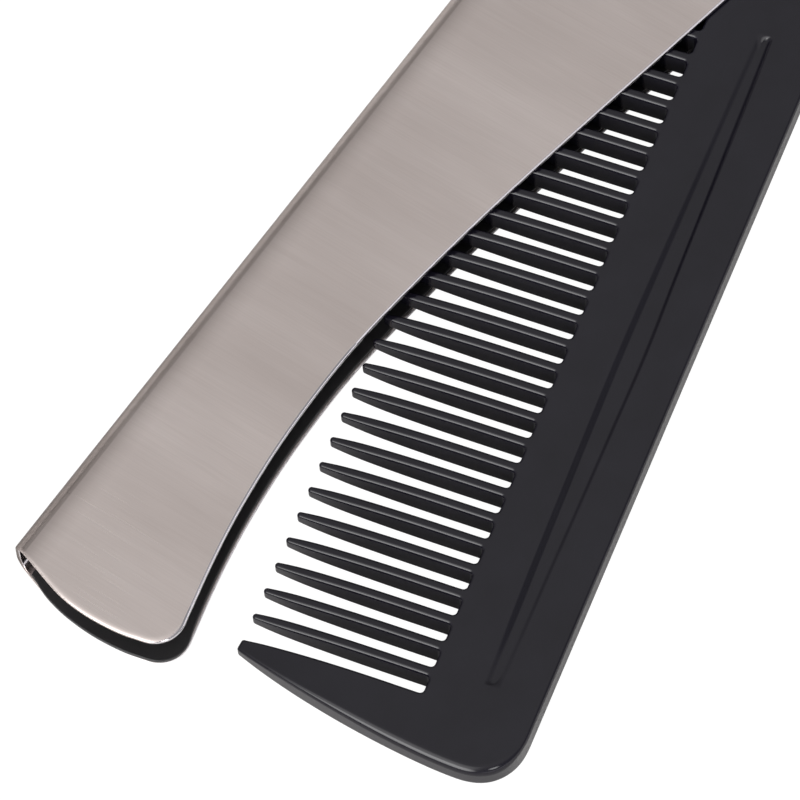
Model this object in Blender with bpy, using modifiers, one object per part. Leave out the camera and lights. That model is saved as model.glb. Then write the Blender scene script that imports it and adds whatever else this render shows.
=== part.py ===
"""Folding pocket comb.

A comb blade swings out of a handle folded from thin steel sheet. The handle lies on
its back at z = 0 with its length along X: free end at -X, pivot end at +X, folded
spine at +Y and open side at -Y. The blade turns about the rivet's vertical axis and is
shown a little way open. All sizes are in metres.
"""

import math

import bmesh
import bpy
from mathutils import Matrix, Vector

# ---------------------------------------------------------------- driving dimensions
SHEET_T = 0.0005          # steel sheet
GLUE_T = 0.00005          # film between liner and sheet
LINER_T = 0.0004          # black liner on the back plate
SLOT_H = 0.0031           # clear height for the blade, liner to front plate
HANDLE_T = 2 * SHEET_T + GLUE_T + LINER_T + SLOT_H
BEND_R = 0.0016           # outer radius of the two soft corners of the folded spine

BLADE_T = 0.0027
BLADE_Z = SHEET_T + GLUE_T + LINER_T + SLOT_H / 2   # blade's middle plane

PITCH = 0.0025            # tooth to tooth
TOOTH_COUNT = 29
TOOTH_W = 0.00087
TOOTH_TIP_W = 0.00056
TOOTH_LEN = 0.01592
TOOTH_TAPER_FROM = 0.0118  # where a tooth starts to narrow
TOOTH_THIN_FROM = 0.0030   # where a tooth starts to thin
TOOTH_THIN_SHARE = 0.56
SLOT_CORNER_R = 0.0003
TOOTH_SHIFT = -0.0001
BACK_V = -0.0096          # back edge of the blade at its free end
BACK_SLOPE = -0.0143       # the blade widens this much towards the pivot

# blade frame: u along the tooth row, v along the teeth, 0,0 at the guard tooth's root
PIVOT_U, PIVOT_V = 0.08184, 0.00312
TANG_R = 0.0120
SHOULDER_U = 0.0009       # the stop shoulder, past the pivot
GROOVE_DEPTH = 0.0004
GROOVE_UPPER = (          # long edge of the recess nearer the teeth, from the free end
    (0.0030, -0.00464), (0.0080, -0.00459), (0.0140, -0.00450), (0.0210, -0.00445),
    (0.0285, -0.00440), (0.0360, -0.00440), (0.0440, -0.00452), (0.0520, -0.00470),
    (0.0600, -0.00484), (0.0650, -0.00494), (0.0690, -0.00506),
)
GROOVE_LOWER = (          # the edge nearer the back, running the other way
    (0.0690, -0.00598), (0.0620, -0.00608), (0.0520, -0.00619), (0.0440, -0.00628),
    (0.0360, -0.00636), (0.0280, -0.00624), (0.0200, -0.00606), (0.0140, -0.00592),
    (0.0080, -0.00580), (0.0030, -0.00566),
)

# handle frame: x from the free end, y from the spine's outer face to the open side
PIVOT_X, PIVOT_Y = 0.08576, 0.01395
BEND_END_X = 0.0845
PLATE_R = 0.0122          # rounded pivot end of both plates
FLAT_Y = 0.00175          # past the folded spine the plates start here
EDGE_STATIONS = (         # distance from the free end, width of the plate
    (0.0020, 0.01631), (0.0085, 0.01486), (0.0140, 0.01397), (0.0200, 0.01340),
    (0.0265, 0.01324), (0.0320, 0.01347), (0.0385, 0.01417), (0.0470, 0.01533),
    (0.0580, 0.01712), (0.0700, 0.01928), (0.0860, 0.02226), (0.0960, 0.02414),
)
END_STATIONS = (          # the convex free end: from beyond the spine to the open corner
    (0.0004, -0.0030), (-0.00047, 0.0), (-0.00150, 0.0032), (-0.00248, 0.0064),
    (-0.00274, 0.0092), (-0.00252, 0.0122), (-0.00203, 0.0144),
)
OPEN_CORNER, OPEN_CORNER_R = (-0.00130, 0.01713), 0.00265
LINER_INSET = 0.00015

ORIGIN_X, ORIGIN_Y = 0.040, 0.007   # row origin, in the handle frame
OPEN_ANGLE = math.radians(13.6)     # blade's angle at rest, from folded away

RIVET_R = 0.0015
RIVET_BORE_R = 0.00095
RIVET_PIN_R = 0.00090
RIVET_HEAD_R = 0.0034
RIVET_HEAD_H = 0.00075
SINK_R = 0.0025           # flush rear head
BLADE_HOLE_R = 0.0016
SHEET_HOLE_R = 0.00156
WASHER_R = 0.0040
WASHER_T = 0.00055
POCKET_R = 0.0042
SEAT = 0.00005            # gap between pieces that bear on each other
SIDES = 48

MIRROR_Y = -1.0           # the handle frame's y runs towards -Y


# ---------------------------------------------------------------- scene
for old in list(bpy.data.objects):
    bpy.data.objects.remove(old, do_unlink=True)

parts = bpy.data.collections.new("folding_pocket_comb")
cutters = bpy.data.collections.new("cutters")
bpy.context.scene.collection.children.link(parts)
bpy.context.scene.collection.children.link(cutters)


def material(name, color, roughness, metallic):
    mat = bpy.data.materials.new(name)
    mat.use_nodes = True
    shader = mat.node_tree.nodes["Principled BSDF"]
    shader.inputs["Base Color"].default_value = (*color, 1.0)
    shader.inputs["Roughness"].default_value = roughness
    shader.inputs["Metallic"].default_value = metallic
    return mat


def new_object(name, mesh, collection, mat=None):
    obj = bpy.data.objects.new(name, mesh)
    collection.objects.link(obj)
    if mat:
        mesh.materials.append(mat)
    if collection is cutters:
        obj.hide_render = True
        obj.display_type = "WIRE"
    return obj


def world(x, y):
    """Handle frame to row frame, in plan."""
    return (x - ORIGIN_X, MIRROR_Y * (y - ORIGIN_Y))


def ccw(points):
    area = sum(a[0] * b[1] - b[0] * a[1] for a, b in zip(points, points[1:] + points[:1]))
    return points if area > 0 else points[::-1]


def prism(name, points, z0, z1, collection, mat=None):
    """A flat outline as a filled 2D curve, extruded from z0 to z1 and made a mesh."""
    points = ccw(points)
    data = bpy.data.curves.new(name + "_outline", "CURVE")
    data.dimensions = "2D"
    data.fill_mode = "BOTH"
    data.extrude = (z1 - z0) / 2
    spline = data.splines.new("POLY")
    spline.points.add(len(points) - 1)
    for p, (x, y) in zip(spline.points, points):
        p.co = (x, y, 0.0, 1.0)
    spline.use_cyclic_u = True
    tmp = bpy.data.objects.new(name + "_outline", data)
    bpy.context.scene.collection.objects.link(tmp)
    tmp.location.z = (z0 + z1) / 2
    bpy.context.view_layer.update()
    graph = bpy.context.evaluated_depsgraph_get()
    mesh = bpy.data.meshes.new_from_object(tmp.evaluated_get(graph))
    mesh.name = name
    bm = bmesh.new()
    bm.from_mesh(mesh)
    bmesh.ops.remove_doubles(bm, verts=bm.verts, dist=1e-7)
    bmesh.ops.recalc_face_normals(bm, faces=bm.faces)
    bm.to_mesh(mesh)
    bm.free()
    obj = new_object(name, mesh, collection, mat)
    obj.matrix_world = tmp.matrix_world.copy()
    bpy.data.objects.remove(tmp, do_unlink=True)
    return obj


def turned(name, profile, closed, collection, mat=None):
    """A profile of (radius, z) turned about Z by a Screw modifier."""
    bm = bmesh.new()
    verts = [bm.verts.new((r, 0.0, z)) for r, z in profile]
    pairs = list(zip(verts, verts[1:]))
    if closed:
        pairs.append((verts[-1], verts[0]))
    for a, b in pairs:
        bm.edges.new((a, b))
    mesh = bpy.data.meshes.new(name)
    bm.to_mesh(mesh)
    bm.free()
    obj = new_object(name, mesh, collection, mat)
    screw = obj.modifiers.new("turn", "SCREW")
    screw.axis = "Z"
    screw.angle = math.tau
    screw.steps = SIDES
    screw.render_steps = SIDES
    screw.use_smooth_shade = True
    screw.use_merge_vertices = True
    screw.merge_threshold = 1e-6
    return obj


def boolean(obj, cutter, operation):
    mod = obj.modifiers.new(operation.lower() + "_" + cutter.name, "BOOLEAN")
    mod.operation = operation
    mod.object = cutter
    mod.solver = "EXACT"


def cylinder(name, radius_low, radius_high, z0, z1, location):
    bm = bmesh.new()
    bmesh.ops.create_cone(bm, cap_ends=True, cap_tris=False, segments=SIDES,
                          radius1=radius_low, radius2=radius_high, depth=z1 - z0)
    mesh = bpy.data.meshes.new(name)
    bm.to_mesh(mesh)
    bm.free()
    obj = new_object(name, mesh, cutters)
    obj.location = (location[0], location[1], (z0 + z1) / 2)
    return obj


def arc(cx, cy, r, a0, a1, n):
    return [(cx + r * math.cos(math.radians(a0 + (a1 - a0) * i / n)),
             cy + r * math.sin(math.radians(a0 + (a1 - a0) * i / n))) for i in range(n + 1)]


def smooth_path(stations, per_span):
    """Catmull-Rom through the stations."""
    pts = [Vector(p) for p in stations]
    pts = [2 * pts[0] - pts[1]] + pts + [2 * pts[-1] - pts[-2]]
    out = []
    for a, b, c, d in zip(pts, pts[1:], pts[2:], pts[3:]):
        for i in range(per_span):
            t = i / per_span
            out.append(0.5 * ((2 * b) + (c - a) * t + (2 * a - 5 * b + 4 * c - d) * t ** 2
                              + (3 * b - a - 3 * c + d) * t ** 3))
    out.append(pts[-2])
    return [tuple(p) for p in out]


def bezier(p0, p1, p2, p3, n):
    out = []
    for i in range(n + 1):
        t = i / n
        s = 1 - t
        out.append(tuple(s ** 3 * a + 3 * s * s * t * b + 3 * s * t * t * c + t ** 3 * d
                         for a, b, c, d in zip(p0, p1, p2, p3)))
    return out


def rounded(corner, before, after, r, n):
    """Fillet of radius r where the line before-corner meets corner-after."""
    c, a, b = Vector(corner), Vector(before), Vector(after)
    da, db = (a - c).normalized(), (b - c).normalized()
    half = da.angle(db) / 2
    centre = c + (da + db).normalized() * (r / math.sin(half))
    pa, pb = c + da * (r / math.tan(half)), c + db * (r / math.tan(half))
    a0 = math.atan2(pa.y - centre.y, pa.x - centre.x)
    turn = (math.atan2(pb.y - centre.y, pb.x - centre.x) - a0 + math.pi) % math.tau - math.pi
    return [(centre.x + r * math.cos(a0 + turn * i / n),
             centre.y + r * math.sin(a0 + turn * i / n)) for i in range(n + 1)]


# ---------------------------------------------------------------- handle outline
def open_edge(inset):
    """Free end, open corner and waisted long edge, from the spine to the pivot end."""
    end = smooth_path(END_STATIONS, 3)
    edge = smooth_path(EDGE_STATIONS, 3)
    path = end + rounded(OPEN_CORNER, end[-1], edge[0], OPEN_CORNER_R, 7) + edge
    # where the straight run of the edge meets the rounded pivot end
    slope = (EDGE_STATIONS[-1][1] - EDGE_STATIONS[-2][1]) / (EDGE_STATIONS[-1][0] - EDGE_STATIONS[-2][0])
    side = EDGE_STATIONS[-2][1] + slope * (PIVOT_X - EDGE_STATIONS[-2][0]) - PIVOT_Y
    a, b, c = 1 + slope ** 2, 2 * side * slope, side ** 2 - PLATE_R ** 2
    t = (-b + math.sqrt(b * b - 4 * a * c)) / (2 * a)
    meet = (PIVOT_X + t, PIVOT_Y + side + slope * t)
    start = math.degrees(math.atan2(meet[1] - PIVOT_Y, meet[0] - PIVOT_X))
    path = [p for p in path if p[0] < meet[0] - 0.0030]
    ring = arc(PIVOT_X, PIVOT_Y, PLATE_R, start, -90, 30)
    path += rounded(meet, path[-1], ring[2], 0.0040, 6)
    path += ring[7:]
    if not inset:
        return path
    moved = []
    for before, here, after in zip(path[:1] + path, path, path[1:] + path[-1:]):
        d = (Vector(after) - Vector(before)).normalized()
        moved.append((here[0] - d.y * inset, here[1] + d.x * inset))
    return moved


handle_path = open_edge(0.0)
# outward is to the right of the direction of travel, so the inset goes left
if Vector(open_edge(0.001)[12]).y > Vector(handle_path[12]).y:
    LINER_SIGN = -1.0
else:
    LINER_SIGN = 1.0

# ---------------------------------------------------------------- materials
steel = material("brushed_steel", (0.46, 0.41, 0.37), 0.34, 1.0)
rivet_steel = material("rivet_steel", (0.56, 0.54, 0.52), 0.25, 1.0)
pin_steel = material("rivet_pin_steel", (0.58, 0.56, 0.54), 0.22, 1.0)
liner_black = material("black_liner", (0.012, 0.012, 0.013), 0.35, 0.0)
blade_black = material("black_comb", (0.018, 0.018, 0.020), 0.18, 0.0)
washer_white = material("washer_front", (0.55, 0.54, 0.50), 0.45, 0.0)
washer_back_mat = material("washer_back", (0.55, 0.54, 0.50), 0.45, 0.0)

root = bpy.data.objects.new("handle_frame", None)
parts.objects.link(root)
px, py = world(PIVOT_X, PIVOT_Y)
pivot = bpy.data.objects.new("pivot_frame", None)
pivot.location = (px, py, 0.0)
pivot.rotation_euler = (0.0, 0.0, OPEN_ANGLE)
parts.objects.link(pivot)

# ---------------------------------------------------------------- steel cover
# The sheet's middle line, round the fold, pulled along X and thickened.
mid = SHEET_T / 2
far = 0.030
r_mid = BEND_R - mid
fold = [(far, HANDLE_T - mid)]
fold += [(BEND_R + r_mid * math.cos(a), HANDLE_T - BEND_R + r_mid * math.sin(a))
         for a in [math.radians(90 + 15 * i) for i in range(7)]]
fold += [(BEND_R + r_mid * math.cos(a), BEND_R + r_mid * math.sin(a))
         for a in [math.radians(180 + 15 * i) for i in range(7)]]
fold += [(far, mid)]
bm = bmesh.new()
row = [bm.verts.new((-0.008 - ORIGIN_X, MIRROR_Y * (y - ORIGIN_Y), z)) for y, z in fold]
edges = [bm.edges.new((a, b)) for a, b in zip(row, row[1:])]
pulled = bmesh.ops.extrude_edge_only(bm, edges=edges)
bmesh.ops.translate(bm, vec=(0.118, 0, 0),
                    verts=[g for g in pulled["geom"] if isinstance(g, bmesh.types.BMVert)])
bmesh.ops.recalc_face_normals(bm, faces=bm.faces)
mesh = bpy.data.meshes.new("steel_cover")
bm.to_mesh(mesh)
bm.free()
cover = new_object("steel_cover", mesh, parts, steel)
cover.parent = root
solid = cover.modifiers.new("sheet", "SOLIDIFY")
solid.thickness = SHEET_T
solid.offset = 0.0
solid.use_even_offset = True

beyond = [(BEND_END_X, -0.0030), (BEND_END_X, FLAT_Y)]
outline = handle_path + beyond[::-1]
blank = prism("cover_outline", [world(*p) for p in outline], -0.001, HANDLE_T + 0.001, cutters)
boolean(cover, blank, "INTERSECT")
boolean(cover, cylinder("cover_hole", SHEET_HOLE_R, SHEET_HOLE_R, HANDLE_T - 0.0015, HANDLE_T + 0.001, (px, py)), "DIFFERENCE")
boolean(cover, cylinder("cover_sink", SINK_R + 0.0002 + SEAT, SINK_R - 0.0006 + SEAT, -0.0002, 0.0006, (px, py)), "DIFFERENCE")

# ---------------------------------------------------------------- liner
inner_path = [p for p in open_edge(LINER_SIGN * LINER_INSET) if p[1] > FLAT_Y + 0.0001]
liner_path = inner_path + [(PIVOT_X - 0.0005, FLAT_Y + 0.0001), (inner_path[0][0], FLAT_Y + 0.0001)]
liner_z = SHEET_T + GLUE_T
liner = prism("back_liner", [world(*p) for p in liner_path], liner_z, liner_z + LINER_T, parts, liner_black)
liner.parent = root
boolean(liner, cylinder("liner_hole", SHEET_HOLE_R + 0.0003, SHEET_HOLE_R + 0.0003, 0.0, 0.002, (px, py)), "DIFFERENCE")


# ---------------------------------------------------------------- comb blade
def tooth(k):
    """Round the tooth at k, from its low-u root to its high-u root."""
    c = k * PITCH + TOOTH_SHIFT
    h, e = TOOTH_W / 2, TOOTH_TIP_W / 2
    rise = [(c - h, SLOT_CORNER_R), (c - h, TOOTH_TAPER_FROM), (c - 0.93 * h, TOOTH_TAPER_FROM + 0.0016)]
    top = arc(c, TOOTH_LEN - e, e, 168, 12, 6)
    fall = [(2 * c - x, y) for x, y in rise[::-1]]
    return rise + top + fall


def root_of_slot(k):
    """Flat slot end between tooth k-1 and tooth k, with small corner radii."""
    a = (k - 1) * PITCH + TOOTH_SHIFT + TOOTH_W / 2
    b = k * PITCH + TOOTH_SHIFT - TOOTH_W / 2
    r = SLOT_CORNER_R
    return arc(a + r, r, r, 180, 270, 2)[1:] + arc(b - r, r, r, 270, 360, 2)[:-1]


def back_v(u):
    return BACK_V + BACK_SLOPE * u


blade = bezier((0.0, back_v(0.0)), (-0.0032, -0.00955), (-0.00505, -0.0081), (-0.00505, -0.0050), 8)
blade += bezier((-0.00505, -0.0050), (-0.0050, 0.0005), (-0.0028, 0.0105), (-0.00108, 0.01560), 12)[1:]
blade += rounded((-0.00093, 0.01605), blade[-1], (0.00005, 0.01593), 0.0002, 3)
blade += [(-0.00006, 0.01593), (0.00006, 0.01582), (0.00010, 0.01558), (0.00023, 0.0132), (0.00031, 0.0095),
          (0.000345, 0.0040), (0.000335, SLOT_CORNER_R)]
for k in range(1, TOOTH_COUNT + 1):
    blade += root_of_slot(k) + tooth(k)
blade += root_of_slot(TOOTH_COUNT + 1)
last = (TOOTH_COUNT + 1) * PITCH + TOOTH_SHIFT - TOOTH_W / 2
blade += [(last, SLOT_CORNER_R)]
tang_top = (PIVOT_U - 0.0034, PIVOT_V + math.sqrt(TANG_R ** 2 - 0.0034 ** 2))
blade += rounded((last, 0.0150), (last, 0.0), tang_top, 0.0012, 4)
shoulder_v = back_v(PIVOT_U + SHOULDER_U)
a_end = math.degrees(math.atan2(-math.sqrt(TANG_R ** 2 - SHOULDER_U ** 2), SHOULDER_U))
a_start = math.degrees(math.atan2(tang_top[1] - PIVOT_V, tang_top[0] - PIVOT_U))
blade += arc(PIVOT_U, PIVOT_V, TANG_R, a_start, a_end, 32)
foot = (PIVOT_U + SHOULDER_U, shoulder_v)
blade += rounded(foot, blade[-1], (PIVOT_U - 0.002, back_v(PIVOT_U - 0.002)), 0.0006, 4)

rel = [(u - PIVOT_U, v - PIVOT_V) for u, v in blade]
z0, z1 = BLADE_Z - BLADE_T / 2, BLADE_Z + BLADE_T / 2
comb = prism("comb_blade", rel, z0, z1, parts, blade_black)
comb.parent = pivot
turn_to_rest = Matrix.Translation((px, py, 0.0)) @ Matrix.Rotation(OPEN_ANGLE, 4, "Z")


def on_blade(obj):
    obj.parent = pivot
    return obj


# teeth thin towards their tips, on both faces
def half_at(v):
    s = min(max((v - TOOTH_THIN_FROM) / (TOOTH_LEN - TOOTH_THIN_FROM), 0.0), 1.3)
    return BLADE_T / 2 * (1 - TOOTH_THIN_SHARE * s ** 2.3)


for side, label in ((1, "front"), (-1, "back")):
    steps = [TOOTH_THIN_FROM + (TOOTH_LEN + 0.001 - TOOTH_THIN_FROM) * i / 8 for i in range(9)]
    lower = [(v - PIVOT_V, BLADE_Z + side * (half_at(v) + (1e-5 if i == 0 else 0.0))) for i, v in enumerate(steps)]
    upper = [(steps[-1] - PIVOT_V, BLADE_Z + side * 0.004), (steps[0] - PIVOT_V, BLADE_Z + side * 0.004)]
    bm = bmesh.new()
    ring = [bm.verts.new((-0.010 - PIVOT_U, y, z)) for y, z in lower + upper]
    face = bm.faces.new(ring)
    pulled = bmesh.ops.extrude_face_region(bm, geom=[face])
    bmesh.ops.translate(bm, vec=(0.010 + last - 0.00002, 0, 0),
                        verts=[g for g in pulled["geom"] if isinstance(g, bmesh.types.BMVert)])
    bmesh.ops.recalc_face_normals(bm, faces=bm.faces)
    mesh = bpy.data.meshes.new("thin_" + label)
    bm.to_mesh(mesh)
    bm.free()
    boolean(comb, on_blade(new_object("thin_" + label, mesh, cutters)), "DIFFERENCE")

# long lens-shaped recess in the back band, on both faces
nose_u, nose_v = GROOVE_UPPER[-1][0], (GROOVE_UPPER[-1][1] + GROOVE_LOWER[0][1]) / 2
nose_r = (GROOVE_UPPER[-1][1] - GROOVE_LOWER[0][1]) / 2
rim = smooth_path(GROOVE_UPPER, 3) + arc(nose_u, nose_v, nose_r, 60, -60, 4) + smooth_path(GROOVE_LOWER, 3)
lens = [(u - PIVOT_U, v - PIVOT_V) for u, v in rim]
for label, za, zb in (("front", z1 - GROOVE_DEPTH, z1 + 0.001), ("back", z0 - 0.001, z0 + GROOVE_DEPTH)):
    boolean(comb, on_blade(prism("groove_" + label, lens, za, zb, cutters)), "DIFFERENCE")

# pivot hole and the two washer pockets
washer_seat = SHEET_T + GLUE_T + LINER_T + SEAT
front_seat = HANDLE_T - SHEET_T - SEAT
for name, radius, za, zb in (
        ("blade_hole", BLADE_HOLE_R, z0 - 0.001, z1 + 0.001),
        ("pocket_back", POCKET_R, z0 - 0.001, washer_seat + WASHER_T + SEAT),
        ("pocket_front", POCKET_R, front_seat - WASHER_T - SEAT, z1 + 0.001)):
    boolean(comb, on_blade(cylinder(name, radius, radius, za, zb, (0.0, 0.0))), "DIFFERENCE")

# ---------------------------------------------------------------- pivot hardware
def ring_profile(r_in, r_out, za, zb):
    return [(r_out, zb), (r_out, za), (r_in, za), (r_in, zb)]


back_washer = turned("back_washer", ring_profile(SHEET_HOLE_R, WASHER_R, washer_seat, washer_seat + WASHER_T), True, parts, washer_back_mat)
front_washer = turned("front_washer", ring_profile(SHEET_HOLE_R, WASHER_R, front_seat - WASHER_T, front_seat), True, parts, washer_white)

bore_floor = 0.0009
tube_top = HANDLE_T - 0.0001
rivet_tube = turned("rivet_tube", [
    (0.0, bore_floor), (RIVET_BORE_R, bore_floor), (RIVET_BORE_R, tube_top), (RIVET_R, tube_top),
    (RIVET_R, SHEET_T), (SINK_R - SHEET_T, SHEET_T), (SINK_R, 0.00002), (0.0, 0.00002)], False, parts, rivet_steel)

seat = HANDLE_T + SEAT
dome = [(0.0, seat + RIVET_HEAD_H)]
for i in range(1, 8):
    a = math.radians(90 * i / 8)
    dome.append((RIVET_HEAD_R * math.sin(a), seat + 0.00015 + (RIVET_HEAD_H - 0.00015) * math.cos(a)))
dome += [(RIVET_HEAD_R, seat + 0.00015), (RIVET_HEAD_R, seat), (RIVET_PIN_R, seat),
         (RIVET_PIN_R, 0.0014), (RIVET_PIN_R - 0.0003, 0.0011), (0.0, 0.0011)]
rivet_pin = turned("rivet_pin", dome, False, parts, pin_steel)

for obj in (back_washer, front_washer, rivet_tube, rivet_pin):
    obj.location = (px, py, 0.0)
    obj.parent = root

for obj in (cover, comb, liner):
    obj.data.shade_smooth()
    obj.data.set_sharp_from_angle(angle=math.radians(30))

bpy.context.view_layer.update()
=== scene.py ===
"""Folding pocket comb: the looks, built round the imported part.

Every piece is made here in millimetres from the same driving sizes as the part, then
turned into metres in the part's own frame.
"""

import math

import bpy
import bmesh
import numpy as np
from mathutils import Matrix, Vector
from mathutils.geometry import delaunay_2d_cdt


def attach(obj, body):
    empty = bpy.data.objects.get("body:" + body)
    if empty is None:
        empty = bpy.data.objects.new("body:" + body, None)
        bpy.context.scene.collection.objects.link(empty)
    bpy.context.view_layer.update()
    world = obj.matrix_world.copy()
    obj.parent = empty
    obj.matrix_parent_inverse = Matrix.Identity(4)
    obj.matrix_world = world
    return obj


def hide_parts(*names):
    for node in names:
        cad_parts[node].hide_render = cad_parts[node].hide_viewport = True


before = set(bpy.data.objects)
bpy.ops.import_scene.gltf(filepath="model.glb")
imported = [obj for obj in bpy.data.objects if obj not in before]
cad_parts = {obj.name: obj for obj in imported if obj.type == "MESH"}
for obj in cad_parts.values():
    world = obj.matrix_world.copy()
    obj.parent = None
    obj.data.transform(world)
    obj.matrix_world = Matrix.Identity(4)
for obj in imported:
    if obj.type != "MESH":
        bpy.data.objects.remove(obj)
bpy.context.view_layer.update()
scene = bpy.context.scene

# ------------------------------------------------------------------ driving sizes, mm
SHEET_T, GLUE_T, LINER_T, SLOT_H = 0.5, 0.05, 0.4, 3.1
HANDLE_T = 2 * SHEET_T + GLUE_T + LINER_T + SLOT_H
BEND_R = 1.6
R_MID = BEND_R - SHEET_T / 2
WEB = HANDLE_T / 2 - BEND_R            # half of the spine's flat web
ARC = R_MID * math.pi / 2
BLADE_T = 2.7
BLADE_Z = SHEET_T + GLUE_T + LINER_T + SLOT_H / 2
PITCH, TEETH, TOOTH_W, TOOTH_LEN, TOOTH_SHIFT = 2.5, 29, 0.87, 15.92, -0.1
PIVOT_U, PIVOT_V = 81.84, 3.12
PIVOT_X, PIVOT_Y = 85.76, 13.95
TANG_R, SHOULDER_U = 12.0, 0.9
BACK_V, BACK_SLOPE = -9.580, -0.0143
BEND_END_X, PLATE_R, FLAT_Y = 84.05, 12.2, 1.75
OPEN_ANGLE = math.radians(13.6)
EDGE = ((2.0, 16.31), (8.5, 14.86), (14.0, 13.97), (20.0, 13.40), (26.5, 13.24), (32.0, 13.47),
        (38.5, 14.17), (47.0, 15.33), (58.0, 17.12), (70.0, 19.28), (86.0, 22.26), (96.0, 24.14))
END = ((0.4, -3.0), (-0.47, 0.0), (-1.50, 3.2), (-2.48, 6.4), (-2.74, 9.2), (-2.52, 12.2), (-2.03, 14.4))
OPEN_CORNER, OPEN_CORNER_R = (-1.30, 17.13), 2.65
# recess, from the free end: u, then v of its wall's top and foot nearer the teeth, and of
# its wall's foot and top nearer the back
RECESS = ((3.0, -4.30, -5.00, -5.38, -5.90), (8.0, -4.24, -4.95, -5.52, -6.03), (14.0, -4.16, -4.86, -5.64, -6.14),
          (20.0, -4.12, -4.80, -5.80, -6.29), (28.0, -4.06, -4.74, -5.98, -6.45), (36.0, -4.04, -4.74, -6.14, -6.61),
          (44.0, -4.16, -4.88, -6.04, -6.48), (52.0, -4.36, -5.00, -5.96, -6.42), (58.0, -4.48, -5.12, -5.86, -6.42),
          (62.0, -4.54, -5.20, -5.82, -6.38), (65.0, -4.60, -5.28, -5.79, -6.35), (69.0, -4.70, -5.40, -5.74, -6.26))


def smoothstep(x, a=0.0, b=1.0):
    t = min(max((x - a) / (b - a), 0.0), 1.0)
    return t * t * (3 - 2 * t)


def smooth_path(stations, per_span):
    pts = [Vector(p) for p in stations]
    pts = [2 * pts[0] - pts[1]] + pts + [2 * pts[-1] - pts[-2]]
    out = []
    for a, b, c, d in zip(pts, pts[1:], pts[2:], pts[3:]):
        for i in range(per_span):
            t = i / per_span
            out.append(0.5 * ((2 * b) + (c - a) * t + (2 * a - 5 * b + 4 * c - d) * t ** 2
                              + (3 * b - a - 3 * c + d) * t ** 3))
    out.append(pts[-2])
    return [tuple(p) for p in out]


def bezier(p0, p1, p2, p3, n):
    out = []
    for i in range(n + 1):
        t = i / n
        s = 1 - t
        out.append(tuple(s ** 3 * a + 3 * s * s * t * b + 3 * s * t * t * c + t ** 3 * d
                         for a, b, c, d in zip(p0, p1, p2, p3)))
    return out


def arc(cx, cy, r, a0, a1, n):
    return [(cx + r * math.cos(math.radians(a0 + (a1 - a0) * i / n)),
             cy + r * math.sin(math.radians(a0 + (a1 - a0) * i / n))) for i in range(n + 1)]


def rounded(corner, before, after, r, n):
    c, a, b = Vector(corner), Vector(before), Vector(after)
    da, db = (a - c).normalized(), (b - c).normalized()
    half = da.angle(db) / 2
    centre = c + (da + db).normalized() * (r / math.sin(half))
    pa, pb = c + da * (r / math.tan(half)), c + db * (r / math.tan(half))
    a0 = math.atan2(pa.y - centre.y, pa.x - centre.x)
    turn = (math.atan2(pb.y - centre.y, pb.x - centre.x) - a0 + math.pi) % math.tau - math.pi
    return [(centre.x + r * math.cos(a0 + turn * i / n),
             centre.y + r * math.sin(a0 + turn * i / n)) for i in range(n + 1)]


def line(a, b, n):
    return [(a[0] + (b[0] - a[0]) * i / n, a[1] + (b[1] - a[1]) * i / n) for i in range(n + 1)]


def left_normals(loop):
    """Unit normals to the left of travel round a closed loop."""
    p = np.array(loop, float)
    d1 = p - np.roll(p, 1, 0)
    d2 = np.roll(p, -1, 0) - p
    l1 = np.linalg.norm(d1, axis=1, keepdims=True)
    l2 = np.linalg.norm(d2, axis=1, keepdims=True)
    d = d1 / l1 + d2 / l2
    d /= np.linalg.norm(d, axis=1, keepdims=True)
    return np.c_[-d[:, 1], d[:, 0]]


def signed_area(loop):
    p = np.array(loop, float)
    q = np.roll(p, -1, 0)
    return 0.5 * float((p[:, 0] * q[:, 1] - q[:, 0] * p[:, 1]).sum())


def inside(points, loops):
    """Even-odd test of points against closed loops."""
    pts = np.array(points, float)
    hit = np.zeros(len(pts), bool)
    for loop in loops:
        a = np.array(loop, float)
        b = np.roll(a, -1, 0)
        for (x0, y0), (x1, y1) in zip(a, b):
            cross = (y0 > pts[:, 1]) != (y1 > pts[:, 1])
            if cross.any():
                at = x0 + (pts[:, 1] - y0) * (x1 - x0) / (y1 - y0 if y1 != y0 else 1e-12)
                hit ^= cross & (pts[:, 0] < at)
    return hit


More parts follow.
